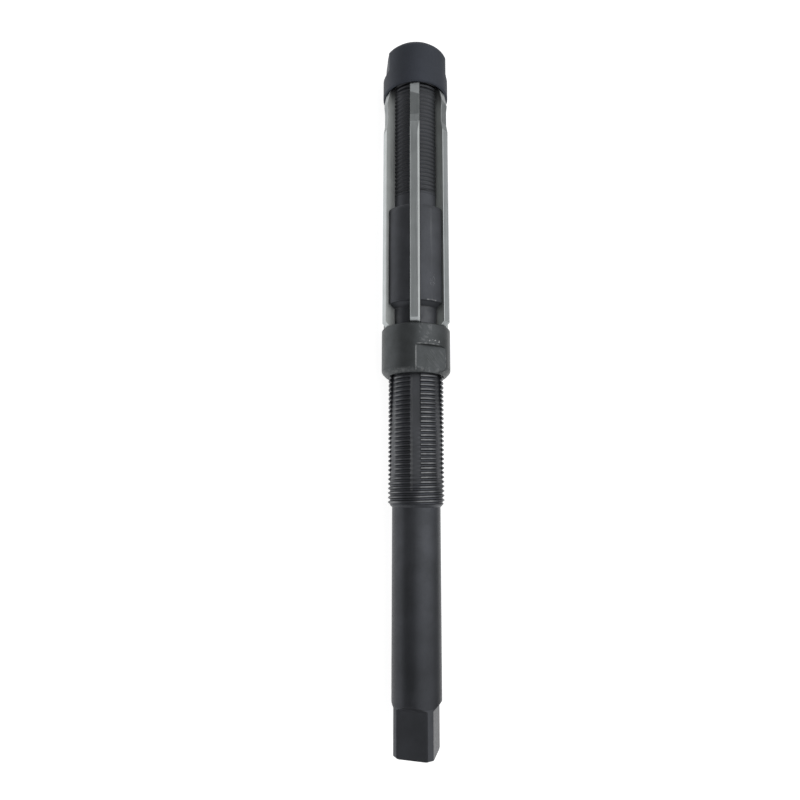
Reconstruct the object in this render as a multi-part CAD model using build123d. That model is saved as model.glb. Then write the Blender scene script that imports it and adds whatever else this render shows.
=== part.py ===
from build123d import *
from math import cos, radians, sqrt, tan
import os

# Adjustable hand reamer, lying on its side. Millimetres.
# The axis runs along X, with the pilot end at +X and the driving square at -X. Z is up.
# The origin is on the axis, where the full round of the shank starts behind the driving square.
# An angle about the axis is counted from +Z towards -Y, as a turn about +X.

# Driving square and shank
square_across = 8.6
square_length = 10.5
square_runout = 1.0
square_angle = -42.0
corner_bevel = 0.25
shank_diameter = 10.9
shank_length = 40.4
end_chamfer = 0.4

# Threaded body, with the threads as plain rounds at their outside diameter
thread_diameter = 12.7
thread_lead_chamfer = 0.9
neck_diameter = 12.5
neck_start = 79.0
neck_end = 85.2
middle_diameter = 15.5
middle_start = 86.3
middle_length = 23.0
middle_chamfer = 0.25
relief_length = 3.5
body_length = 151.5

# Slots, with a floor that climbs towards the shank
slot_count = 6
slot_width = 2.24
slot_slope = 2.0
slot_runout_at = 43.1

# Centre holes for turning and grinding, with a 60 degree countersink
centre_angle = 60.0
square_centre_drill = 2.5
square_centre_mouth = 5.0
square_centre_depth = 6.0
pilot_centre_drill = 1.6
pilot_centre_mouth = 3.4
pilot_centre_depth = 5.0

# Blades
reaming_diameter = 17.0
blade_thickness = 2.2
blade_floor_gap = 0.03
margin_width = 0.45
margin_taper = 2.8
lead_margin_width = 0.05
relief_drop = 0.25
lead_diameter = 16.7
lead_length = 4.5
waist_diameter = 16.3
waist_length = 4.2
waist_step = 0.15
waist_ramp = 2.0
facet_length = 3.7
facet_angle = 12.0

# Nuts, the same part at both ends, with the cone side against the blades
nut_diameter = 16.0
nut_height = 11.2
nut_across = 14.0
nut_flat_length = 6.2
nut_end_chamfer = 1.1
nut_rim_chamfer = 0.3
cone_mouth_diameter = 15.1
cone_angle = 45.0
cone_gap = 0.05
thread_gap = 0.03
lower_nut_at = 69.9
lower_nut_angle = 0.0
upper_nut_angle = 69.8

# How far a cutter's path runs past the surface that it leaves
overrun = 1.0

# Worked out from the sizes above
slope_rate = tan(radians(slot_slope))
cone_rate = tan(radians(cone_angle))
thread_radius = thread_diameter / 2
shank_radius = shank_diameter / 2
middle_end = middle_start + middle_length
upper_thread_start = middle_end + relief_length
lower_nut_rim = lower_nut_at + nut_height
upper_nut_rim = body_length - nut_height
blade_angles = [-180 / slot_count + 360 / slot_count * i for i in range(slot_count)]


def slot_floor(x):
    """Height of a slot's floor above the axis at x."""
    return thread_radius - slope_rate * (x - slot_runout_at)


def turned(points):
    """A solid of revolution about X from the (x, radius) points of its half section."""
    corners = [(x, 0, radius) for x, radius in points]
    return revolve(Face(Wire.make_polygon(corners, close=True)), Axis.X, 360)


def milled(points, width):
    """A cutter's path: the (x, height) outline, as wide as stated and centred on the axis."""
    corners = [(x, -width / 2, height) for x, height in points]
    return extrude(Face(Wire.make_polygon(corners, close=True)), amount=width, dir=(0, 1, 0))


def about_axis(solid, angle):
    return solid.rotate(Axis.X, angle)


def body_blank():
    """The turned body before its square and slots are milled."""
    middle = middle_diameter / 2
    neck = neck_diameter / 2
    step = thread_radius - neck
    return turned([
        (-square_length, 0),
        (-square_length, shank_radius),
        (shank_length, shank_radius),
        (shank_length + thread_lead_chamfer, thread_radius),
        (neck_start, thread_radius),
        (neck_start + step, neck),
        (neck_end, neck),
        (middle_start, middle - middle_chamfer),
        (middle_start + middle_chamfer, middle),
        (middle_end - middle_chamfer, middle),
        (middle_end, middle - middle_chamfer),
        (middle_end, neck),
        (upper_thread_start, neck),
        (upper_thread_start + step, thread_radius),
        (body_length - end_chamfer, thread_radius),
        (body_length, thread_radius - end_chamfer),
        (body_length, 0),
    ])


def square_cut():
    """One side of the driving square, which slopes out to the full round of the shank."""
    flat = square_across / 2
    before = -square_length - overrun
    slope = square_runout / (shank_radius - flat)
    return milled([
        (before, flat),
        (-square_runout, flat),
        (slope * overrun, shank_radius + overrun),
        (before, shank_radius + overrun),
    ], 2 * shank_diameter)


def corner_cut():
    """The bevel at the end of one corner of the square."""
    edge = shank_radius - corner_bevel
    return milled([
        (-square_length - overrun, edge - overrun),
        (-square_length + corner_bevel + overrun, shank_radius + overrun),
        (-square_length - overrun, shank_radius + overrun),
    ], shank_diameter)


def slot_cut():
    """One slot, open at the pilot end and at the outside, with its sloping floor."""
    before, after = slot_runout_at - overrun, body_length + overrun
    outside = middle_diameter / 2 + overrun
    return milled([
        (before, slot_floor(before)),
        (after, slot_floor(after)),
        (after, outside),
        (before, outside),
    ], slot_width)


def centre_hole(end, inward, drill, mouth, depth):
    """A drilled centre with its countersink, in the face at x = end."""
    rate = tan(radians(centre_angle / 2))
    sink = (mouth - drill) / 2 / rate
    return turned([
        (end - inward * overrun, 0),
        (end - inward * overrun, mouth / 2 + rate * overrun),
        (end + inward * sink, drill / 2),
        (end + inward * depth, drill / 2),
        (end + inward * depth, 0),
    ])


def reamer_body():
    solid = body_blank()
    for side in range(4):
        solid -= about_axis(square_cut(), square_angle + 90 * side)
        solid -= about_axis(corner_cut(), square_angle + 45 + 90 * side)
    for angle in blade_angles:
        solid -= about_axis(slot_cut(), angle)
    solid -= centre_hole(
        -square_length, 1, square_centre_drill, square_centre_mouth, square_centre_depth
    )
    solid -= centre_hole(
        body_length, -1, pilot_centre_drill, pilot_centre_mouth, pilot_centre_depth
    )
    return solid


def nut(rim, outward, angle):
    """A nut with its blade side at x = rim. Its wrench flats are at the outward end, and outward
    is 1 towards the pilot and -1 towards the shank."""
    end = rim + outward * nut_height
    outer = nut_diameter / 2
    bore = thread_radius + thread_gap
    mouth = cone_mouth_diameter / 2
    solid = turned([
        (rim, mouth),
        (rim, outer - nut_rim_chamfer),
        (rim + outward * nut_rim_chamfer, outer),
        (end - outward * nut_end_chamfer, outer),
        (end, outer - nut_end_chamfer),
        (end, bore),
        (rim + outward * (mouth - bore) / cone_rate, bore),
    ])
    flat_cut = milled([
        (end - outward * nut_flat_length, nut_across / 2),
        (end + outward * overrun, nut_across / 2),
        (end + outward * overrun, outer + overrun),
        (end - outward * nut_flat_length, outer + overrun),
    ], nut_diameter)
    for side in range(2):
        solid -= about_axis(flat_cut, 180 * side)
    return about_axis(solid, angle)


def blade_outline():
    """The cutting edge as (x, radius, margin width), from the shank end to the pilot end. Both
    ends are bevelled to seat in the nuts' cones. The lead beside the pilot's nut is lower, and a
    shallow waist sets it off from the edge that cuts."""
    full, lead, waist = reaming_diameter / 2, lead_diameter / 2, waist_diameter / 2
    seat = cone_mouth_diameter / 2 - cone_gap / cos(radians(cone_angle))
    tip = thread_radius - blade_floor_gap
    lead_start = upper_nut_rim - lead_length
    waist_start = lead_start - waist_length
    ramp_start = waist_start - waist_ramp
    wide, thin = margin_width, lead_margin_width
    return [
        (lower_nut_rim + (tip - seat) / cone_rate, tip, thin),
        (lower_nut_rim + (full - seat) / cone_rate, full, wide),
        (ramp_start - margin_taper, full, wide),
        (ramp_start, full, thin),
        (waist_start, waist, thin),
        (lead_start, waist, thin),
        (lead_start + waist_step, lead, thin),
        (upper_nut_rim + (seat - lead) / cone_rate, lead, thin),
        (upper_nut_rim + (seat - tip) / cone_rate, tip, thin),
    ]


def blade_section(x, radius, margin):
    """The cross section at x. The margin keeps the full radius behind the cutting edge, and the
    rest of the land falls away from it to the trailing side."""
    half = blade_thickness / 2
    floor = slot_floor(x) + blade_floor_gap
    heel = margin - half
    corners = [
        (x, half, floor),
        (x, -half, floor),
        (x, -half, sqrt(radius**2 - half**2)),
        (x, heel, sqrt(radius**2 - heel**2)),
        (x, half, radius - relief_drop),
    ]
    return Face(Wire.make_polygon(corners, close=True))


def facet_cut():
    """The flat facet that is ground on the lead and slopes down into the pilot's nut."""
    half = blade_thickness / 2
    start = upper_nut_rim - facet_length
    edge = sqrt((lead_diameter / 2)**2 - half**2)
    after = upper_nut_rim + nut_height
    drop = tan(radians(facet_angle))
    return milled([
        (start - overrun, edge + drop * overrun),
        (after, edge - drop * (after - start)),
        (after, nut_diameter),
        (start - overrun, nut_diameter),
    ], nut_diameter)


def blade(angle):
    sections = [blade_section(*station) for station in blade_outline()]
    return about_axis(loft(sections, ruled=True) - facet_cut(), angle)


def main():
    os.makedirs("parts", exist_ok=True)
    export_step(reamer_body(), "parts/reamer_body.step")
    export_step(nut(lower_nut_rim, -1, lower_nut_angle), "parts/lower_nut.step")
    export_step(nut(upper_nut_rim, 1, upper_nut_angle), "parts/upper_nut.step")
    for number, angle in enumerate(blade_angles, start=1):
        export_step(blade(angle), f"parts/blade_{number}.step")


main()
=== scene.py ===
import bmesh
import bpy
import numpy as np
from mathutils import Matrix, Vector


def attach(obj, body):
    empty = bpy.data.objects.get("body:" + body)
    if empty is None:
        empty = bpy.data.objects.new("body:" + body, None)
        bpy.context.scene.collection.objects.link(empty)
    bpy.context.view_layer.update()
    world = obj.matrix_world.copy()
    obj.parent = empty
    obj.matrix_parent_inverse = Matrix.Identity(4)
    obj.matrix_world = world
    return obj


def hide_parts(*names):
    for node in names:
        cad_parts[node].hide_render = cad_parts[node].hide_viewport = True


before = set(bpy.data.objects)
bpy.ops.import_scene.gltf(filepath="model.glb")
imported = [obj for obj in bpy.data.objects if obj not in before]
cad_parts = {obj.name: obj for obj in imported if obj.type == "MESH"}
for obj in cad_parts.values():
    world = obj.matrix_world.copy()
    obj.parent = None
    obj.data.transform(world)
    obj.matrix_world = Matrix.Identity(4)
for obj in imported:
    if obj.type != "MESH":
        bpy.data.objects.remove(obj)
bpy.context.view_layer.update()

# Adjustable hand reamer, lying on its two nuts. Shapes are worked out in millimetres.
# x runs along the axis to the pilot end. An angle a is counted from +Z towards -Y.
mm = 0.001
scene = bpy.context.scene
fullTurn = 2 * np.pi


# Points, profiles and closed meshes.
def aroundAxis(x, u, v, centre):
    # A point u across and v out from the axis, in the half plane at the angle centre:
    # y = -v sin(centre) - u cos(centre), z = v cos(centre) - u sin(centre).
    y = -v * np.sin(centre) - u * np.cos(centre)
    z = v * np.cos(centre) - u * np.sin(centre)
    return np.stack(np.broadcast_arrays(x, y, z), -1)


def softMin(first, second, blend):
    # The smaller of two heights, with the crease between them rounded over the height blend:
    # min(f, s) - (max(blend - |f - s|, 0))^2 / (4 blend).
    near = np.maximum(blend - np.abs(first - second), 0)
    return np.minimum(first, second) - near**2 / (4 * blend)


def smoothStep(value):
    # 3t^2 - 2t^3, with t held between 0 and 1.
    t = np.clip(value, 0, 1)
    return t * t * (3 - 2 * t)


def alongKnots(knots):
    # Rows of values from knots of (values..., steps to the next knot), each step a straight share.
    rows = [np.linspace(a[:-1], b[:-1], a[-1], endpoint=False) for a, b in zip(knots, knots[1:])]
    return np.concatenate(rows + [np.array([knots[-1][:-1]], float)])


def gridFaces(rows, columns):
    # Quads between neighbouring rows and columns of a grid of points.
    i, j = np.meshgrid(np.arange(rows - 1), np.arange(columns - 1), indexing="ij")
    corner = (i * columns + j).ravel()
    return np.stack([corner, corner + 1, corner + columns + 1, corner + columns], -1)


def makePiece(name, patches, materials, sharpAngle, capAt=None):
    # One closed mesh from grids of points in mm, each with its faces' material numbers. Doubles are
    # merged, an open end at x = capAt is filled flat, and the normals are turned outwards.
    mergeReach, shortEdge, capReach = 0.0015 * mm, 0.0005 * mm, 0.002 * mm
    points, faces, slots, start = [], [], [], 0
    for grid, numbers in patches:
        rows, columns = grid.shape[:2]
        points.append(grid.reshape(-1, 3) * mm)
        faces.append(gridFaces(rows, columns) + start)
        slots.append(np.broadcast_to(numbers, (rows - 1, columns - 1)).ravel())
        start += rows * columns
    mesh = bpy.data.meshes.new(name)
    mesh.from_pydata(np.concatenate(points), [], np.concatenate(faces))
    for material in materials:
        mesh.materials.append(material)
    mesh.polygons.foreach_set("material_index", np.concatenate(slots).astype(np.int32))
    work = bmesh.new()
    work.from_mesh(mesh)
    bmesh.ops.remove_doubles(work, verts=work.verts, dist=mergeReach)
    bmesh.ops.dissolve_degenerate(work, edges=work.edges, dist=shortEdge)
    if capAt is not None:
        rim = [e for e in work.edges if len(e.link_faces) < 2
               and all(abs(v.co.x - capAt * mm) < capReach for v in e.verts)]
        bmesh.ops.triangle_fill(work, edges=rim, use_beauty=True)
    bmesh.ops.recalc_face_normals(work, faces=work.faces)
    openEdges = sum(len(e.link_faces) != 2 for e in work.edges)
    work.to_mesh(mesh)
    work.free()
    mesh.shade_smooth()
    mesh.set_sharp_from_angle(angle=np.radians(sharpAngle))
    piece = bpy.data.objects.new(name, mesh)
    scene.collection.objects.link(piece)
    mesh.calc_loop_triangles()
    print(f"{name}: {len(mesh.loop_triangles)} triangles, {openEdges} open edges")
    return piece


# Colours, nodes and finishes.
def linear(hexColour):
    channels = [int(hexColour[i:i + 2], 16) / 255 for i in (1, 3, 5)]
    return [c / 12.92 if c <= 0.04045 else ((c + 0.055) / 1.055)**2.4 for c in channels] + [1.0]


def addNode(tree, kind, inputs, out=0, **settings):
    # Adds a node, sets or links its inputs, and gives back one of its outputs. Object coordinates
    # are output 3. A colour mix has its share on input 0, its colours on 6 and 7, and its result
    # on output 2.
    node = tree.nodes.new(kind)
    for key, value in settings.items():
        setattr(node, key, value)
    for key, value in inputs.items():
        if isinstance(value, bpy.types.NodeSocket):
            tree.links.new(value, node.inputs[key])
        else:
            node.inputs[key].default_value = value
    return node.outputs[out] if len(node.outputs) else node


def newTree(name):
    material = bpy.data.materials.new(name)
    material.use_nodes = True
    material.node_tree.nodes.clear()
    return material, material.node_tree


def finishMaterial(tree, colour, metallic, roughness, normal):
    shader = addNode(tree, "ShaderNodeBsdfPrincipled",
                     {"Base Color": colour, "Metallic": metallic, "Roughness": roughness,
                      "Normal": normal})
    addNode(tree, "ShaderNodeOutputMaterial", {"Surface": shader})


# The spacings of blotches, grain and turning marks, and all other lengths here, are in mm.
oxideBody = {
    "dark": "#404246", "light": "#494b50", "wornAndHighlight": "#a2a3a4", "shadeColour": "#24262a", "metallic": 0.7,
    "blotch": 5.0, "grain": 0.25, "turning": 0.16,
    "roughness": 0.42, "roughnessSpread": 0.08,
}
oxideUpperNut = {
    "dark": "#393d45", "light": "#3e424b", "metallic": 0.6,
    "blotch": 6.0, "grain": 0.3, "turning": 0.2,
    "roughness": 0.60, "roughnessSpread": 0.04,
}
oxideLowerNut = {
    "dark": "#454849", "light": "#4f5254", "wornAndHighlight": "#b0b1b2", "metallic": 0.7,
    "blotch": 3.4, "grain": 0.3, "turning": 0.2,
    "roughness": 0.44, "roughnessSpread": 0.08,
}
oxideSkin = {
    "turnedLength": 12.5, "blotchRange": (0.35, 0.65), "grainRange": (0.3, 0.7),
    "bumpStrength": 0.35, "bumpHeight": 0.006,
}


def oxideMaterial(name, look, wearAndHighlightMask=None, shadeBands=()):
    # Black oxide on turned alloy steel: a thin dark skin, part matte, that keeps most of the
    # metal's own gloss. It shows as near black with soft grey reflections, as bright steel where
    # it has rubbed off, lighter where highlights are painted on it, and darker where shade is
    # painted.
    s = oxideSkin
    material, tree = newTree(name)
    place = addNode(tree, "ShaderNodeTexCoord", {}, out=3)
    blotch = addNode(tree, "ShaderNodeTexNoise",
                     {"Vector": place, "Scale": 1 / (look["blotch"] * mm), "Detail": 5.0})
    grain = addNode(tree, "ShaderNodeTexNoise",
                    {"Vector": place, "Scale": 1 / (look["grain"] * mm), "Detail": 3.0})
    ringScale = [1 / (look["turning"] * mm)] + [1 / (s["turnedLength"] * mm)] * 2
    rings = addNode(tree, "ShaderNodeMapping", {"Vector": place, "Scale": ringScale})
    turning = addNode(tree, "ShaderNodeTexNoise", {"Vector": rings, "Scale": 1.0, "Detail": 2.0})
    low, high = s["blotchRange"]
    share = addNode(tree, "ShaderNodeMapRange",
                    {"Value": blotch, "From Min": low, "From Max": high})
    colour = addNode(tree, "ShaderNodeMix",
                     {0: share, 6: linear(look["dark"]), 7: linear(look["light"])},
                     out=2, data_type="RGBA")
    if shadeBands:
        # Bands of painted shade darken the colour here.
        shaded = shadeBandShare(tree, place, shadeBands)
        colour = addNode(tree, "ShaderNodeMix", {0: shaded, 6: colour, 7: linear(look["shadeColour"])},
                         out=2, data_type="RGBA")
    if wearAndHighlightMask:
        # Wear and painted highlights, mixed towards the bright colour.
        brightShare = wearAndHighlightMask(tree, place)
        colour = addNode(tree, "ShaderNodeMix", {0: brightShare, 6: colour, 7: linear(look["wornAndHighlight"])},
                         out=2, data_type="RGBA")
    low, high = s["grainRange"]
    roughness = addNode(tree, "ShaderNodeMapRange",
                        {"Value": grain, "From Min": low, "From Max": high,
                         "To Min": look["roughness"] - look["roughnessSpread"],
                         "To Max": look["roughness"] + look["roughnessSpread"]})
    height = addNode(tree, "ShaderNodeMath", {0: grain, 1: turning}, operation="ADD")
    bump = addNode(tree, "ShaderNodeBump", {"Height": height, "Strength": s["bumpStrength"],
                                            "Distance": s["bumpHeight"] * mm})
    finishMaterial(tree, colour, look["metallic"], roughness, bump)
    return material


# Painted shade along the body: x where one starts, x where it has its full share, x where it
# ends, and that share. It darkens the shank towards the square, the neck, where the lower nut
# and the blades shade it, and the upper thread between the blades, most near the middle section.
bodyPaintedShade = [
    (34.0, 8.0, -0.6, 0.42),
    (85.6, 85.0, 81.0, 0.50),
    (112.8, 112.9, 112.8, 0.24),
    (140.5, 134.0, 112.8, 0.24),
]


def shadeBandShare(tree, place, shadeBands):
    # Each band of painted shade grows in a straight line from its start to its full share, and
    # stops at its end.
    axes = addNode(tree, "ShaderNodeSeparateXYZ", {0: place}).node.outputs
    total = 0.0
    for start, full, end, share in shadeBands:
        shaded = addNode(tree, "ShaderNodeMapRange",
                         {"Value": axes["X"], "From Min": start * mm, "From Max": full * mm,
                          "To Max": share})
        inside = addNode(tree, "ShaderNodeMath", {0: axes["X"], 1: end * mm},
                         operation="GREATER_THAN")
        shaded = addNode(tree, "ShaderNodeMath", {0: shaded, 1: inside}, operation="MULTIPLY")
        total = addNode(tree, "ShaderNodeMath", {0: total, 1: shaded}, operation="ADD")
    return total


# Rubbed places and painted highlights, the painted ones noted at each: x, half its length, angle
# round the axis, half its spread, the length, width and slant of the marks in it, the noise levels
# where they start and end, and their share of the bright colour.
bodyRubsAndHighlights = [
    # Painted highlight: a streak of light along the middle section.
    (97.5, 11.0, -1.7, 2.2, 9.0, 1.2, 0, 0.30, 0.75, 0.10),
    (91.5, 1.6, 0.5, 5.0, 0.9, 0.16, 30, 0.54, 0.64, 0.28),
    # Painted highlight along the chamfer at the lower end of the middle section.
    (86.5, 0.15, -1.0, 9.0, 0.8, 0.8, 0, 0.42, 0.6, 0.40),
    # The left edge of the slot at -30 is drawn lighter along the lower thread.
    (56.5, 12.5, -38.6, 2.3, 6.0, 1.0, 0, 0.25, 0.60, 0.20),
    # Painted reflections in the slots at -90 and 30 along the lower thread, whose walls and floors
    # are seen edge on.
    (55.0, 9.0, -90.0, 10.0, 6.0, 1.0, 0, 0.20, 0.60, 0.16),
    (55.0, 9.0, 30.0, 10.0, 6.0, 1.0, 0, 0.20, 0.60, 0.13),
]
lowerNutRubsAndHighlights = [
    # Painted highlights along the flat's two edges.
    (73.1, 2.75, -28.9, 0.8, 1.0, 0.6, 0, 0.33, 0.55, 0.42),
    (73.1, 2.75, 28.9, 0.8, 0.9, 0.5, 0, 0.46, 0.66, 0.30),
    # Painted highlight along the flat's shoulder.
    (76.25, 0.11, -8.0, 20.0, 0.9, 0.9, 0, 0.36, 0.6, 0.44),
    (76.95, 0.28, 2.5, 14.0, 0.36, 0.36, 0, 0.56, 0.62, 0.65),
    (78.9, 2.1, -13.0, 11.0, 1.3, 0.55, 50, 0.50, 0.64, 0.11),
    (73.0, 2.3, 9.0, 17.0, 2.4, 0.3, 42, 0.52, 0.70, 0.08),
    # Painted highlight round the end chamfer.
    (70.6, 0.5, 0.0, 180.0, 0.9, 0.7, 0, 0.45, 0.7, 0.16),
]


def placeAndTurn(tree, place):
    # The three coordinates, and the angle round the axis, a = atan2(-y, z).
    axes = addNode(tree, "ShaderNodeSeparateXYZ", {0: place}).node.outputs
    sideways = addNode(tree, "ShaderNodeMath", {0: axes["Y"], 1: -1.0}, operation="MULTIPLY")
    turn = addNode(tree, "ShaderNodeMath", {0: sideways, 1: axes["Z"]}, operation="ARCTAN2")
    return axes, turn


def rubAndHighlightShare(tree, place, brightPlaces, total):
    # Each rub and each painted highlight is a window along x and round the axis, broken up by
    # noise.
    axes, turn = placeAndTurn(tree, place)
    for x, half, angle, spread, length, width, slant, low, high, share in brightPlaces:
        cells = addNode(tree, "ShaderNodeMapping",
                        {"Vector": place, "Rotation": (0.0, 0.0, np.radians(slant)),
                         "Scale": (length * mm, width * mm, width * mm)}, vector_type="TEXTURE")
        marks = addNode(tree, "ShaderNodeTexNoise", {"Vector": cells, "Scale": 1.0, "Detail": 4.0})
        marks = addNode(tree, "ShaderNodeMapRange",
                        {"Value": marks, "From Min": low, "From Max": high, "To Max": share})
        here = addNode(tree, "ShaderNodeMath", {0: axes["X"], 1: x * mm, 2: half * mm},
                       operation="COMPARE")
        there = addNode(tree, "ShaderNodeMath",
                        {0: turn, 1: np.radians(angle), 2: np.radians(spread)},
                        operation="COMPARE")
        for window in (here, there):
            marks = addNode(tree, "ShaderNodeMath", {0: marks, 1: window}, operation="MULTIPLY")
        total = addNode(tree, "ShaderNodeMath", {0: total, 1: marks}, operation="MAXIMUM")
    return total


bodyWearAndHighlightSizes = {
    "crestRange": (6.22, 6.34), "skinBelow": 6.4,
    "handledTo": (100.0, 101.0), "unhandledShare": 0.10,
    "highlightStripCount": 5.0, "highlightStripTurn": 50.0, "highlightStripRange": (-0.6, 0.6), "betweenHighlightStrips": 0.11,
    "patch": 2.0, "patchRange": (0.38, 0.62), "patchShares": (0.22, 0.50),
    "rootRange": (6.3, 6.1), "rootFloor": 5.88, "rootShare": 0.08, "upperFrom": 112.9,
    "floorRange": (-0.45, -0.55), "floorShare": 0.06, "floorAt": 61.5, "floorHalf": 16.0,
}


def bodyWearAndHighlights(tree, place):
    # The lower thread's crests have rubbed bright, and the upper thread's hardly at all. On the
    # lower thread the wear is drawn strongest in five strips, which are painted highlights where
    # its crests catch the light; a strip's share follows the cosine of five times the angle.
    w = bodyWearAndHighlightSizes
    radial = addNode(tree, "ShaderNodeVectorMath", {0: place, 1: (0.0, 1.0, 1.0)},
                     operation="MULTIPLY")
    radius = addNode(tree, "ShaderNodeVectorMath", {0: radial}, out=1, operation="LENGTH")
    axes, turn = placeAndTurn(tree, place)
    below = addNode(tree, "ShaderNodeMath", {0: radius, 1: w["skinBelow"] * mm},
                    operation="LESS_THAN")
    low, high = w["crestRange"]
    crest = addNode(tree, "ShaderNodeMapRange",
                    {"Value": radius, "From Min": low * mm, "From Max": high * mm})
    low, high = w["handledTo"]
    handled = addNode(tree, "ShaderNodeMapRange",
                      {"Value": axes["X"], "From Min": low * mm, "From Max": high * mm,
                       "To Min": 1.0, "To Max": w["unhandledShare"]})
    highlightStrips = addNode(tree, "ShaderNodeMath",
                     {0: turn, 1: w["highlightStripCount"], 2: np.radians(w["highlightStripTurn"])},
                     operation="MULTIPLY_ADD")
    highlightStrips = addNode(tree, "ShaderNodeMath", {0: highlightStrips}, operation="COSINE")
    low, high = w["highlightStripRange"]
    highlightStrips = addNode(tree, "ShaderNodeMapRange",
                     {"Value": highlightStrips, "From Min": low, "From Max": high,
                      "To Min": w["betweenHighlightStrips"]})
    patchy = addNode(tree, "ShaderNodeTexNoise",
                     {"Vector": place, "Scale": 1 / (w["patch"] * mm), "Detail": 3.0})
    low, high = w["patchRange"]
    patchy = addNode(tree, "ShaderNodeMapRange",
                     {"Value": patchy, "From Min": low, "From Max": high,
                      "To Min": w["patchShares"][0], "To Max": w["patchShares"][1]})
    for share in (below, patchy, highlightStrips, handled):
        crest = addNode(tree, "ShaderNodeMath", {0: crest, 1: share}, operation="MULTIPLY")
    # The roots of the upper thread are drawn a little lighter.
    low, high = w["rootRange"]
    root = addNode(tree, "ShaderNodeMapRange",
                   {"Value": radius, "From Min": low * mm, "From Max": high * mm,
                    "To Max": w["rootShare"]})
    above = addNode(tree, "ShaderNodeMath", {0: radius, 1: w["rootFloor"] * mm},
                    operation="GREATER_THAN")
    upper = addNode(tree, "ShaderNodeMath", {0: axes["X"], 1: w["upperFrom"] * mm},
                    operation="GREATER_THAN")
    for share in (above, upper, below):
        root = addNode(tree, "ShaderNodeMath", {0: root, 1: share}, operation="MULTIPLY")
    # The slots' milled floors along the lower thread are drawn slightly lighter. They lie where the
    # cosine of six times the angle is below -0.5.
    milled = addNode(tree, "ShaderNodeMath", {0: turn, 1: 6.0}, operation="MULTIPLY")
    milled = addNode(tree, "ShaderNodeMath", {0: milled}, operation="COSINE")
    low, high = w["floorRange"]
    milled = addNode(tree, "ShaderNodeMapRange",
                     {"Value": milled, "From Min": low, "From Max": high,
                      "To Max": w["floorShare"]})
    along = addNode(tree, "ShaderNodeMath",
                    {0: axes["X"], 1: w["floorAt"] * mm, 2: w["floorHalf"] * mm},
                    operation="COMPARE")
    milled = addNode(tree, "ShaderNodeMath", {0: milled, 1: along}, operation="MULTIPLY")
    total = addNode(tree, "ShaderNodeMath", {0: crest, 1: root}, operation="MAXIMUM")
    total = addNode(tree, "ShaderNodeMath", {0: total, 1: milled}, operation="MAXIMUM")
    return rubAndHighlightShare(tree, place, bodyRubsAndHighlights, total)


def lowerNutWearAndHighlights(tree, place):
    # Painted highlights lie along its flat's edges and shoulder and round its end chamfer; the
    # round above the flat is scratched.
    return rubAndHighlightShare(tree, place, lowerNutRubsAndHighlights, 0.0)


groundSkin = {
    "lineLength": 1000 / 60, "cloud": 3.0, "toneRange": (0.7, 1.3), "darkShare": 0.82,
    "streakRange": (0.3, 0.7), "roughnessSpread": 0.06, "bumpStrength": 0.25,
    "bumpHeight": 0.004,
}


def groundSteel(name, colour, roughness, lines):
    # High-speed steel from a surface grinder: bare grey metal whose fine lines run along the blade
    # and draw each reflection out across it. Real lines are about 0.02 mm apart, too fine to show
    # here, so they are drawn at the spacing given.
    s = groundSkin
    material, tree = newTree(name)
    place = addNode(tree, "ShaderNodeTexCoord", {}, out=3)
    lineScale = [1 / (s["lineLength"] * mm)] + [1 / (lines * mm)] * 2
    stretched = addNode(tree, "ShaderNodeMapping", {"Vector": place, "Scale": lineScale})
    streaks = addNode(tree, "ShaderNodeTexNoise",
                      {"Vector": stretched, "Scale": 1.0, "Detail": 3.0})
    cloud = addNode(tree, "ShaderNodeTexNoise",
                    {"Vector": place, "Scale": 1 / (s["cloud"] * mm), "Detail": 4.0})
    tone = addNode(tree, "ShaderNodeMath", {0: streaks, 1: cloud}, operation="ADD")
    low, high = s["toneRange"]
    share = addNode(tree, "ShaderNodeMapRange", {"Value": tone, "From Min": low, "From Max": high})
    light = linear(colour)
    dark = [c * s["darkShare"] for c in light[:3]] + [1.0]
    shade = addNode(tree, "ShaderNodeMix", {0: share, 6: dark, 7: light},
                    out=2, data_type="RGBA")
    low, high = s["streakRange"]
    rough = addNode(tree, "ShaderNodeMapRange",
                    {"Value": streaks, "From Min": low, "From Max": high,
                     "To Min": roughness - s["roughnessSpread"],
                     "To Max": roughness + s["roughnessSpread"]})
    bump = addNode(tree, "ShaderNodeBump", {"Height": streaks, "Strength": s["bumpStrength"],
                                            "Distance": s["bumpHeight"] * mm})
    finishMaterial(tree, shade, 1.0, rough, bump)
    return material


blackOxideBody = oxideMaterial("blackOxideTurned", oxideBody, bodyWearAndHighlights, bodyPaintedShade)
# This nut kept all its oxide.
blackOxideUpperNut = oxideMaterial("blackOxideSatin", oxideUpperNut)
blackOxideLowerNut = oxideMaterial("blackOxideScuffedAndHighlighted", oxideLowerNut, lowerNutWearAndHighlights)
groundLand = groundSteel("groundSteelLand", "#c0c5c6", 0.34, 0.12)
groundMargin = groundSteel("groundSteelMargin", "#bcc0c0", 0.30, 0.10)
groundSide = groundSteel("groundSteelSide", "#9b9e9d", 0.36, 0.14)
groundFacet = groundSteel("groundSteelFacet", "#979b9c", 0.40, 0.12)
groundLead = groundSteel("groundSteelLead", "#919596", 0.38, 0.16)
print("materials made")

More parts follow.
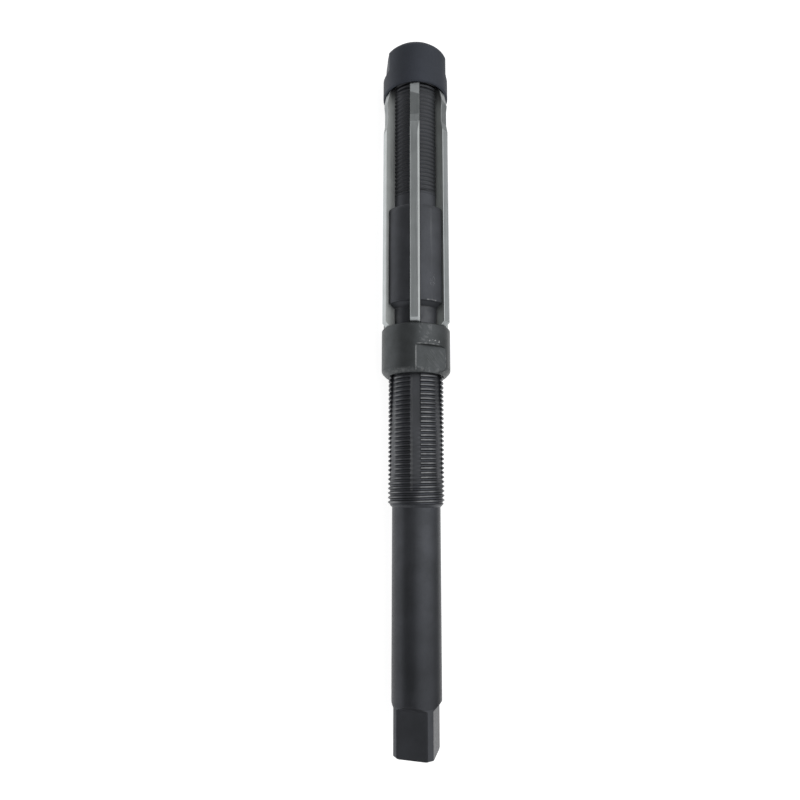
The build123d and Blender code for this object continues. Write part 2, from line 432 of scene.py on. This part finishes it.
# The body: square, shank, two threads, middle section and slots.
bodySizes = {
    "squareFlat": 4.3, "squareEnd": -10.5, "squareRunout": 1.0, "squareTurn": -42.0,
    "cornerBevel": 0.25, "bevelBlend": 0.04, "edgeTurn": 0.6, "edgeBlend": 0.05,
    "squareRows": [-10.5, -10.4, -10.3, -10.2, -10.1, -9.9, -9.0, -7.5, -6.0, -4.5, -3.0, -2.0,
                   -1.3, -1.06, -1.0, -0.94, -0.8, -0.6, -0.4, -0.25, -0.12, -0.05, 0.0],
    "shankRadius": 5.45, "shankEnd": 40.4, "warpLength": 8.0, "shankRows": [16.0, 24.0, 32.0],
    "threadRadius": 6.35, "pitch": 1.02, "threadDepth": 0.42, "crestHalf": 0.14,
    "rootStart": 0.375,
    "slotHalf": 1.12, "slotSlope": 2.0, "slotRunout": 43.1, "slotEdge": 0.10,
    "fullEdgeDepth": 0.3, "runoutDepth": 0.44, "runoutLength": 5.5,
    "squareCentre": (2.5, 1.25, 6.0), "squareCentreLand": 0.6, "pilotEnd": 151.5,
    "pilotCentre": (1.7, 0.8, 5.0), "countersink": 30.0,
    # Profiles as (x, radius), with the number of rows to the next point where those go straight
    # round, and the open share of a thread's depth as (x, share). Dried oil fills the rest of the
    # upper thread.
    "leadCone": [(40.4, 5.45, 3), (40.7, 5.75, 0)],
    "lowerThread": [(40.7, 5.75), (41.3, 6.35), (79.0, 6.35), (79.1, 6.25)],
    "lowerOpen": [(77.2, 1.0), (79.0, 0.0)],
    "middle": [(79.1, 6.25, 10), (85.2, 6.25, 5), (86.3, 7.5, 1), (86.36, 7.64, 1),
               (86.55, 7.75, 24), (109.05, 7.75, 1), (109.24, 7.64, 1), (109.3, 7.5, 4),
               (109.3, 6.25, 6), (112.8, 6.25, 0)],
    "upperThread": [(112.8, 6.25), (112.9, 6.35), (151.1, 6.35), (151.5, 5.95)],
    "upperOpen": [(112.8, 0.0), (113.8, 0.62)],
}
bladeTurns = np.radians([-30 + 60 * i for i in range(6)])
halfStep = np.pi / 6
columnsPerSlot = 20


def slotFloor(x):
    # The floor is a plane that falls by the slope's tangent for each mm towards the pilot end. At
    # its run-out the round cutter has dipped a little below that plane, just under the roots.
    s = bodySizes
    fromEnd = x - s["slotRunout"]
    plane = np.tan(np.radians(s["slotSlope"])) * fromEnd
    dip = s["runoutDepth"] * np.clip(fromEnd / s["runoutLength"], 0, 1)
    return s["threadRadius"] - np.maximum(plane, dip)


def slotColumns():
    # For each column round the body: its slot's angle, its side, and what it follows. Arc columns
    # have a share of the way to the middle of the rib. Slot columns have a share of the half width
    # and a level on the wall, with 0 the floor and 1 the top. Edge columns are marked by 2.
    arc = [(-1, q, 0, 0) for q in (1, 0.8, 0.6, 0.4, 0.2)]
    wall = [(-1, -1, 1, 2), (-1, -1, 1, 1), (-1, -1, 1, 0.5), (-1, -1, 1, 0)]
    floor = [(-1, -1, 0.5, 0), (1, -1, 0, 0), (1, -1, 0.5, 0)]
    back = [(1, q, s, k) for _, q, s, k in wall[::-1]]
    rise = [(1, q, 0, 0) for q in (0.2, 0.4, 0.6, 0.8)]
    table = np.array(arc + wall + floor + back + rise, float)
    table = np.concatenate([table] * 6 + [table[:1]])
    centres = np.repeat(np.concatenate([bladeTurns, bladeTurns[:1] + fullTurn]), columnsPerSlot)
    return centres[:len(table)], *table.T


columnCentre, columnSide, arcShare, halfShare, wallLevel = slotColumns()


def columnAngles(envelope, x):
    # Angle of each column in its slot's frame, and how far across it is, on a round of radius
    # envelope. The rib's arc is shared out evenly between the slots' edges.
    half = bodySizes["slotHalf"]
    depth = np.sqrt(envelope**2 - half**2) - slotFloor(x)
    edge = half + bodySizes["slotEdge"] * np.clip(depth / bodySizes["fullEdgeDepth"], 0, 1)
    across = columnSide * np.where(wallLevel > 1.5, edge, half * halfShare)
    edgeAngle = np.arcsin(edge / envelope)
    rib = columnSide * (edgeAngle + arcShare * (halfStep - edgeAngle))
    return np.where(arcShare >= 0, rib, np.arcsin(across / envelope)), across, edge - half


def threadRadius(x, angle, openShare):
    # A trapezoid wave along the right-hand helix x / pitch = angle / turn: full radius at the
    # worn crest, the root for a quarter of the pitch, and straight flanks between.
    s = bodySizes
    phase = (x / s["pitch"] - angle / fullTurn) % 1
    fromCrest = np.minimum(phase, 1 - phase)
    depth = np.clip((fromCrest - s["crestHalf"]) / (s["rootStart"] - s["crestHalf"]), 0, 1)
    return s["threadRadius"] - s["threadDepth"] * openShare * depth


def slottedRound(x, envelope, openShare=None):
    # The body's skin: the turned or threaded round, cut down to u = +-half and v = floor in slots.
    angle, across, chamfer = columnAngles(envelope, x)
    radius = envelope
    if openShare is not None:
        radius = np.minimum(envelope, threadRadius(x, columnCentre + angle, openShare))
    rib = arcShare >= 0
    top = np.where(rib, radius * np.cos(angle), np.sqrt(np.maximum(radius**2 - across**2, 0)))
    across = np.where(rib, radius * np.sin(angle), across)
    floor = np.minimum(slotFloor(x), top)
    shoulder = np.maximum(top - chamfer, floor)
    out = np.where(rib | (wallLevel > 1.5), top, floor + (shoulder - floor) * wallLevel)
    return aroundAxis(x, across, out, columnCentre)


def roundRows(knots):
    rows = alongKnots(knots)
    x, envelope = np.broadcast_arrays(rows[:, :1], columnCentre)[0], rows[:, 1:2]
    return slottedRound(x, envelope + 0 * x)


def threadRows(knots, openKnots):
    # Rows follow the helix, so that crests and roots lie on rows. Each starts one pitch behind
    # where its last column ends, and is held between the profile's two ends. The columns' angles
    # are those of the plain round where the slots are deep.
    s = bodySizes
    pitch, crest, root = s["pitch"], s["crestHalf"], s["rootStart"]
    start, end = knots[0][0], knots[-1][0]
    deepX = s["slotRunout"] + 3 * s["runoutLength"]
    angle = columnCentre + columnAngles(np.full(1, s["threadRadius"]), np.full(1, deepX))[0]
    turns = np.arange(np.floor(start / pitch) - 2, np.ceil(end / pitch) + 2)
    flank = (crest + root) / 2
    phases = np.array([-crest, crest, flank, root, 1 - root, 1 - flank])
    row = ((turns[:, None] + phases).ravel() * pitch)[:, None]
    x = np.clip(row + pitch * angle / fullTurn, start, end)
    moving = np.ptp(x, axis=1) > 0
    first, last = np.argmax(moving), len(moving) - np.argmax(moving[::-1])
    x = x[max(first - 1, 0):last + 1]
    return slottedRound(x, np.interp(x, *np.array(knots).T), np.interp(x, *np.array(openKnots).T))


def squareColumns(edgeAngle):
    # Column angles round the square: each quarter has its flat, out to edgeAngle either side, and
    # the round corner strip between two flats. A quarter's 30 columns meet those of 1.5 slots.
    turn = np.minimum(np.radians(bodySizes["edgeTurn"]), edgeAngle / 2)
    flat = np.linspace(-1, 1, 17) * (edgeAngle - turn)
    strip = edgeAngle + turn + np.linspace(0, 1, 11) * (np.pi / 2 - 2 * edgeAngle - 2 * turn)
    quarter = np.concatenate([flat, edgeAngle, strip, np.pi / 2 - edgeAngle], axis=1)
    quarters = [quarter + np.radians(bodySizes["squareTurn"]) + k * np.pi / 2 for k in range(4)]
    return np.concatenate(quarters + [quarters[0][:, :1] + fullTurn], axis=1)


def squareRows():
    # The driving square's skin: R = min(round, flat / cos(angle from the flat)), with the flats
    # sloping out to the shank over the run-out and each corner bevelled at the end.
    s = bodySizes
    x = np.array(s["squareRows"])[:, None]
    slope = np.clip((x + s["squareRunout"]) / s["squareRunout"], 0, 1)
    flat = s["squareFlat"] + (s["shankRadius"] - s["squareFlat"]) * slope
    edgeAngle = np.arccos(np.minimum(flat / s["shankRadius"], 1))
    angle = squareColumns(edgeAngle)
    fromFlat = (angle - np.radians(s["squareTurn"]) + np.pi / 4) % (np.pi / 2) - np.pi / 4
    radius = softMin(flat / np.cos(fromFlat), np.full_like(angle, s["shankRadius"]),
                     s["edgeBlend"])
    bevel = s["shankRadius"] - s["cornerBevel"] + x - s["squareEnd"]
    radius = softMin(radius, bevel / np.cos(np.pi / 4 - np.abs(fromFlat)), s["bevelBlend"])
    radius = np.where(x >= 0, s["shankRadius"], radius)
    outside = aroundAxis(x, 0, radius, angle)
    mouth, drill, depth = s["squareCentre"]
    sink = (mouth - drill) / np.tan(np.radians(s["countersink"]))
    end = s["squareEnd"]
    holeX = np.array([end + depth, end + depth, end + sink, end, end])[:, None]
    holeR = np.array([0, drill, drill, mouth, mouth + s["squareCentreLand"]])[:, None]
    hole = aroundAxis(holeX, 0, holeR, angle[:1])
    return np.concatenate([hole, outside])


def shankRows():
    # The round shank. Its columns turn from the square's to the slots' over the warp length.
    s = bodySizes
    warpRows = np.linspace(0, s["warpLength"], 13)
    x = np.concatenate([warpRows, s["shankRows"], [s["shankEnd"]]])[:, None]
    fromSquare = squareColumns(np.zeros((1, 1)))
    toSlot = columnCentre + columnAngles(np.full(1, s["shankRadius"]), np.full(1, 0.0))[0]
    angle = fromSquare + (toSlot - fromSquare) * smoothStep(x / s["warpLength"])
    return aroundAxis(x, 0, s["shankRadius"], angle)


def pilotCentre():
    # The drilled centre: pole, drill wall and 60 degree countersink.
    mouth, drill, depth = bodySizes["pilotCentre"]
    end = bodySizes["pilotEnd"]
    sink = (mouth - drill) / np.tan(np.radians(bodySizes["countersink"]))
    x = np.array([end - depth, end - depth, end - sink, end])[:, None]
    r = np.array([0, drill, drill, mouth])[:, None]
    return aroundAxis(x, 0, r, np.linspace(0, fullTurn, 49)[None])


bodyPatches = [
    squareRows(),
    shankRows(),
    roundRows(bodySizes["leadCone"]),
    threadRows(bodySizes["lowerThread"], bodySizes["lowerOpen"]),
    roundRows(bodySizes["middle"]),
    threadRows(bodySizes["upperThread"], bodySizes["upperOpen"]),
    pilotCentre(),
]
bodyPiece = makePiece("slottedBody", [(grid, 0) for grid in bodyPatches], [blackOxideBody],
                      sharpAngle=32, capAt=bodySizes["pilotEnd"])
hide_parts("reamer_body")
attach(bodyPiece, "body")

# The two nuts.
nutSizes = {
    "radius": 8.0, "height": 11.2, "flat": 7.0, "flatHalf": 3.873, "flatLength": 6.2,
    "cornerDrop": 0.5, "shoulderLean": 0.01, "shoulderEdge": 0.12, "flatBlend": 0.10,
    "edgeTurn": 0.7, "bore": 6.38, "boreEdge": 0.12, "mouth": 7.55,
    "endChamfer": 1.1, "endRound": 1.4, "faceRound": 0.3,
    "rimChamfer": 0.3, "rimRound": 0.25, "lipRound": 0.1,
    "lowerEnd": 69.9, "lowerTurn": 0.0, "upperEnd": 151.5, "upperTurn": 69.8,
}


def roundCorner(before, corner, after, radius, steps):
    # Points of an arc of that radius, tangent to both sides of a corner of the profile.
    before, corner, after = (np.array(p, float) for p in (before, corner, after))
    one, two = before - corner, after - corner
    one, two = one / np.linalg.norm(one), two / np.linalg.norm(two)
    half = np.arccos(np.clip(one @ two, -1, 1)) / 2
    centre = corner + (one + two) / np.linalg.norm(one + two) * radius / np.sin(half)
    t = np.linspace(0, 1, steps + 1)[:, None]
    start, end = corner + one * radius / np.tan(half), corner + two * radius / np.tan(half)
    line = start + (end - start) * t - centre
    return centre + line / np.linalg.norm(line, axis=1, keepdims=True) * radius


def nutColumns(edgeAngle):
    # Column angles round a nut: each half turn has a flat, then the round between the two flats.
    turn = np.radians(nutSizes["edgeTurn"])
    flat = np.linspace(-1, 1, 33) * (edgeAngle - turn)
    side = edgeAngle + turn + np.linspace(0, 1, 61) * (np.pi - 2 * edgeAngle - 2 * turn)
    half = np.concatenate([flat, [edgeAngle], side, [np.pi - edgeAngle]])
    return np.concatenate([half, half + np.pi, half[:1] + fullTurn])


def makeNut(name, end, inward, turn, material):
    # A profile of (distance from the outer end, radius) is carried round the axis, and inward is
    # 1 where the distance grows along +x and -1 where it grows against it. On the flats
    # R = min(profile, flat / cos(angle from the flat)) as far as the shoulder, whose ends bend
    # down by the eighth power of the distance from the middle.
    s = nutSizes
    radius, height, chamfer, blend = s["radius"], s["height"], s["endChamfer"], s["flatBlend"]
    face, wall = (0, radius - chamfer), (chamfer, radius)
    wallMiddle = (height / 2, radius)
    rimCorner, lipCorner = (height - s["rimChamfer"], radius), (height, radius - s["rimChamfer"])
    outerEnd = roundCorner((0, s["bore"]), face, wall, s["faceRound"], 4)
    nose = roundCorner(face, wall, wallMiddle, s["endRound"], 12)
    rim = roundCorner(wallMiddle, rimCorner, lipCorner, s["rimRound"], 4)
    lip = roundCorner(rimCorner, lipCorner, (height, s["mouth"]), s["lipRound"], 2)
    throat = height - (s["mouth"] - s["bore"])
    angle = nutColumns(np.arccos(s["flat"] / radius))[None]
    fromFlat = (angle + np.pi / 2) % np.pi - np.pi / 2
    width = np.minimum(np.abs(np.sin(fromFlat)) * radius, s["flatHalf"]) / s["flatHalf"]
    shoulder = s["flatLength"] - s["cornerDrop"] * width**8
    start = nose[-1, 0]
    climb = start + (shoulder - start) * np.linspace(0, 1, 9)[1:, None]
    over = shoulder + np.array([s["shoulderLean"], s["shoulderEdge"]])[:, None]
    top = over[-1:] + (rim[0, 0] - over[-1:]) * np.linspace(0, 1, 7)[1:-1, None]

    def rows(profile):
        return profile[:, :1] + 0 * angle, profile[:, 1:] + 0 * angle

    plane = s["flat"] / np.cos(fromFlat)
    full = np.full_like(climb, radius)
    onFlat = softMin(full, plane, blend)
    low = np.maximum(radius - s["shoulderEdge"], onFlat[:1])
    mouthEdge = rows(np.array([(s["boreEdge"], s["bore"]), (0, s["bore"] + s["boreEdge"])]))
    endX, endR = rows(np.concatenate([outerEnd, nose]))
    inner = np.array([(height, s["mouth"]), (throat, s["bore"]), (throat / 2, s["bore"]),
                      (s["boreEdge"], s["bore"])])
    parts = [
        mouthEdge,
        (endX, softMin(endR, plane, blend)),
        (climb, onFlat),
        (over, np.concatenate([low, full[:1]])),
        (top, np.full_like(top, radius)),
        rows(np.concatenate([rim, lip, inner])),
    ]
    x, r = (np.concatenate([part[k] for part in parts]) for k in range(2))
    grid = aroundAxis(end + inward * x, 0, r, angle + np.radians(turn))
    return makePiece(name, [(grid, 0)], [material], sharpAngle=28)


lowerNut = makeNut("lowerAdjustingNut", nutSizes["lowerEnd"], 1, nutSizes["lowerTurn"],
                   blackOxideLowerNut)
upperNut = makeNut("upperAdjustingNut", nutSizes["upperEnd"], -1, nutSizes["upperTurn"],
                   blackOxideUpperNut)
for piece, body in ((lowerNut, "lower_nut"), (upperNut, "upper_nut")):
    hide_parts(body)
    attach(piece, body)

# The six blades.
bladeSizes = {
    "half": 1.1, "floorGap": 0.03, "reliefDrop": 0.25, "edge": 0.05, "thinMargin": 0.05,
    "facetStart": 136.6, "facetAngle": 12.0, "leadStart": 135.95, "leadRadius": 8.35,
    "rampStart": 129.6,
    # (x, radius, margin) along the cutting edge, then (x, rows to the next x) up to the facet.
    "outline": [(79.94, 6.32, 0.05), (82.12, 8.5, 0.45), (126.8, 8.5, 0.45),
                (129.6, 8.5, 0.05), (131.6, 8.15, 0.05), (134.9, 8.15, 0.05),
                (136.55, 8.35, 0.05), (139.43, 8.35, 0.05), (141.46, 6.32, 0.05)],
    "rows": [(79.94, 6), (82.12, 24), (126.8, 6), (129.6, 6), (131.6, 6), (134.9, 4),
             (135.95, 4), (136.6, 0)],
    # Places across the land: 0 to 1 on the margin, 1 to 2 on the rest.
    "shares": [0, 0.5, 1, 1.25, 1.5, 1.7, 1.85, 1.95, 2.0],
}
marginStrips, topStrips = 2, 8
bladeFinishes = [groundLand, groundMargin, groundSide, groundFacet, groundLead]


def acrossLand(share, heel):
    half = bladeSizes["half"]
    return np.where(share <= 1, -half + (heel + half) * share,
                    heel + (half - heel) * (share - 1))


def bladeLand(across, radius, heel):
    # Top of the blade: the full round as far as the heel, then a straight fall to the back.
    s = bladeSizes
    margin = np.sqrt(radius**2 - across**2)
    atHeel = np.sqrt(radius**2 - heel**2)
    share = (across - heel) / (s["half"] - heel)
    return np.where(across <= heel, margin, atHeel + (radius - s["reliefDrop"] - atHeel) * share)


def makeBlade(name, turn):
    # A section is carried along x: floor, two sides and the land. Rows bend to lie on the slanted
    # line where the lead's facet starts.
    s = bladeSizes
    half, edge = s["half"], s["edge"]
    knotX, knotR, knotMargin = np.array(s["outline"]).T
    fall = np.tan(np.radians(s["facetAngle"]))
    facetTop = np.sqrt(s["leadRadius"]**2 - half**2)
    share = np.array(s["shares"])
    leadHeel = -half + s["thinMargin"]
    leadZ = bladeLand(acrossLand(share, leadHeel), s["leadRadius"], leadHeel)
    facetLine = s["facetStart"] + (facetTop - leadZ) / fall
    x = alongKnots(s["rows"])
    before = np.broadcast_to(x, (len(x), len(share)))
    bend = smoothStep((x - s["leadStart"]) / (s["facetStart"] - s["leadStart"]))
    before = before + bend * (facetLine - s["facetStart"])
    after = facetLine + (knotX[-2] - facetLine) * np.linspace(0, 1, 7)[1:, None]
    tip = np.linspace(knotX[-2], knotX[-1], 7)[1:, None] + 0 * facetLine
    x = np.concatenate([before, after, tip])
    radius = np.interp(x, knotX, knotR)
    heel = -half + np.interp(x, knotX, knotMargin)
    across = acrossLand(share, heel)
    top = np.minimum(bladeLand(across, radius, heel), facetTop - fall * (x - s["facetStart"]))
    # The back edge is rounded a little, the cutting edge stays sharp.
    top[:, -1] -= edge
    backX, leadX = x[:, -1:], x[:, :1]
    floorBack, floorLead = (slotFloor(v) + s["floorGap"] for v in (backX, leadX))
    ones = np.ones_like(backX)
    columns = [
        (x, across, top),
        (backX, half * ones, (top[:, -1:] + floorBack) / 2),
        (backX, half * ones, floorBack + edge),
        (backX, (half - edge) * ones, floorBack),
        (leadX, (edge - half) * ones, floorLead),
        (leadX, -half * ones, floorLead + edge),
        (leadX, -half * ones, (top[:, :1] + floorLead) / 2),
        (x[:, :1], across[:, :1], top[:, :1]),
    ]
    x, across, top = (np.concatenate([c[k] for c in columns], axis=1) for k in range(3))
    # Each end closes on a row drawn together at its middle.
    middle = [v[[0, -1]].mean(axis=1, keepdims=True) + 0 * v[[0, -1]] for v in (x, across, top)]
    x, across, top = (np.concatenate([m[:1], v, m[1:]]) for m, v in zip(middle, (x, across, top)))
    rows, count = x.shape
    land, margin, side, facet, lead = range(len(bladeFinishes))
    number = np.full((rows - 1, count - 1), side)
    number[:, marginStrips:topStrips] = land
    number[:, :marginStrips] = margin
    # The first row is the end's middle, so the faces after the row at x are one further on.
    rampRow = np.argmin(np.abs(before[:, 0] - s["rampStart"]))
    number[1 + rampRow:, :topStrips] = lead
    number[len(before):, :topStrips] = facet
    grid = aroundAxis(x, -across, top, turn)
    return makePiece(name, [(grid, number)], bladeFinishes, sharpAngle=8)


for number, turn in enumerate(bladeTurns, start=1):
    blade = makeBlade(f"groundBlade{number}", turn)
    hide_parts(f"blade_{number}")
    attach(blade, f"blade_{number}")
print("pieces made")

# Floor, light and camera. Places are in mm, the lamp's size in m and angles in degrees.
stageSizes = {
    "floorHeight": -8.0, "floorReach": 900.0, "floorColour": "#ffffff",
    "softboxPlace": (130.0, -110.0, 340.0), "softboxSize": (0.40, 0.36), "softboxPower": 0.24,
    "leftFlag": [(150.0, -7.9), (330.0, -7.9), (330.0, 590.0)], "leftLevel": 0.27,
    "rightFlag": [(-90.0, -7.9), (-420.0, -7.9), (-420.0, 260.0)], "rightLevel": 0.43,
    "flagReach": 850.0, "floorGlow": 0.86, "floorGrey": 0.5, "diffuseSky": 0.55,
}


def cardMesh(name, corners, faces):
    mesh = bpy.data.meshes.new(name)
    mesh.from_pydata(np.array(corners, float) * mm, [], faces)
    card = bpy.data.objects.new(name, mesh)
    scene.collection.objects.link(card)
    return card


def seenShare(tree):
    # 1 for camera, glossy and transmission rays, 0 for the others.
    path = addNode(tree, "ShaderNodeLightPath", {}).node.outputs
    total = addNode(tree, "ShaderNodeMath",
                    {0: path["Is Camera Ray"], 1: path["Is Glossy Ray"]}, operation="MAXIMUM")
    return addNode(tree, "ShaderNodeMath", {0: total, 1: path["Is Transmission Ray"]},
                   operation="MAXIMUM")


reach, low = stageSizes["floorReach"], stageSizes["floorHeight"]
floor = cardMesh("floorPlane", [(-reach, -reach, low), (reach, -reach, low),
                                (reach, reach, low), (-reach, reach, low)], [(0, 1, 2, 3)])
floorMaterial, tree = newTree("palePaper")
white = linear(stageSizes["floorColour"])
matte = addNode(tree, "ShaderNodeBsdfDiffuse", {"Color": [stageSizes["floorGrey"]] * 3 + [1.0]})
strength = addNode(tree, "ShaderNodeMath", {0: seenShare(tree), 1: stageSizes["floorGlow"]},
                   operation="MULTIPLY")
glow = addNode(tree, "ShaderNodeEmission", {"Color": white, "Strength": strength})
both = addNode(tree, "ShaderNodeAddShader", {0: matte, 1: glow})
addNode(tree, "ShaderNodeOutputMaterial", {"Surface": both})
floor.data.materials.append(floorMaterial)

for side in ("left", "right"):
    # Grey cloth that only reflections see: it gives round metal its dark and middle bands.
    path, flagReach = stageSizes[side + "Flag"], stageSizes["flagReach"]
    corners = [(x, y, z) for y, z in path for x in (-flagReach, flagReach)]
    flag = cardMesh(side + "Flag", corners,
                    [(k, k + 1, k + 3, k + 2) for k in range(0, 2 * len(path) - 2, 2)])
    flagMaterial, tree = newTree(side + "FlagCloth")
    dull = addNode(tree, "ShaderNodeEmission",
                   {"Color": [1.0, 1.0, 1.0, 1.0], "Strength": stageSizes[side + "Level"]})
    addNode(tree, "ShaderNodeOutputMaterial", {"Surface": dull})
    flag.data.materials.append(flagMaterial)
    flag.visible_camera = flag.visible_diffuse = flag.visible_shadow = False

world = bpy.data.worlds.new("paleStudio")
scene.world = world
world.use_nodes = True
tree = world.node_tree
tree.nodes.clear()
level = addNode(tree, "ShaderNodeMapRange",
                {"Value": seenShare(tree), "To Min": stageSizes["diffuseSky"], "To Max": 1.0})
sky = addNode(tree, "ShaderNodeBackground", {"Color": [1.0, 1.0, 1.0, 1.0], "Strength": level})
addNode(tree, "ShaderNodeOutputWorld", {"Surface": sky})

lamp = bpy.data.lights.new("softbox", "AREA")
lamp.shape = "RECTANGLE"
lamp.size, lamp.size_y = stageSizes["softboxSize"]
lamp.energy = stageSizes["softboxPower"]
softbox = bpy.data.objects.new("softbox", lamp)
softbox.location = Vector(stageSizes["softboxPlace"]) * mm
softbox.visible_camera = False
scene.collection.objects.link(softbox)

cameraSizes = {"place": (43.9, 64.32, 117.05), "lean": 27.2, "tilt": 8.87, "roll": 0.115,
               "lens": 26.33}
lean, tilt, roll = (np.radians(cameraSizes[k]) for k in ("lean", "tilt", "roll"))
outward = np.array([0, np.sin(lean), np.cos(lean)])
right = np.array([0, -np.cos(lean), np.sin(lean)])
along = np.array([1.0, 0, 0])
forward = -outward * np.cos(tilt) + along * np.sin(tilt)
upward = along * np.cos(tilt) + outward * np.sin(tilt)
right, upward = (right * np.cos(roll) + upward * np.sin(roll),
                 upward * np.cos(roll) - right * np.sin(roll))
view = bpy.data.cameras.new("photoView")
view.lens, view.sensor_width = cameraSizes["lens"], 36.0
view.clip_start, view.clip_end = 0.005, 10.0
camera = bpy.data.objects.new("photoView", view)
turnTo = Matrix([right, upward, -forward]).transposed().to_4x4()
camera.matrix_world = Matrix.Translation(Vector(cameraSizes["place"]) * mm) @ turnTo
scene.collection.objects.link(camera)
scene.camera = camera
scene.view_settings.view_transform = "Standard"
print("stage set")
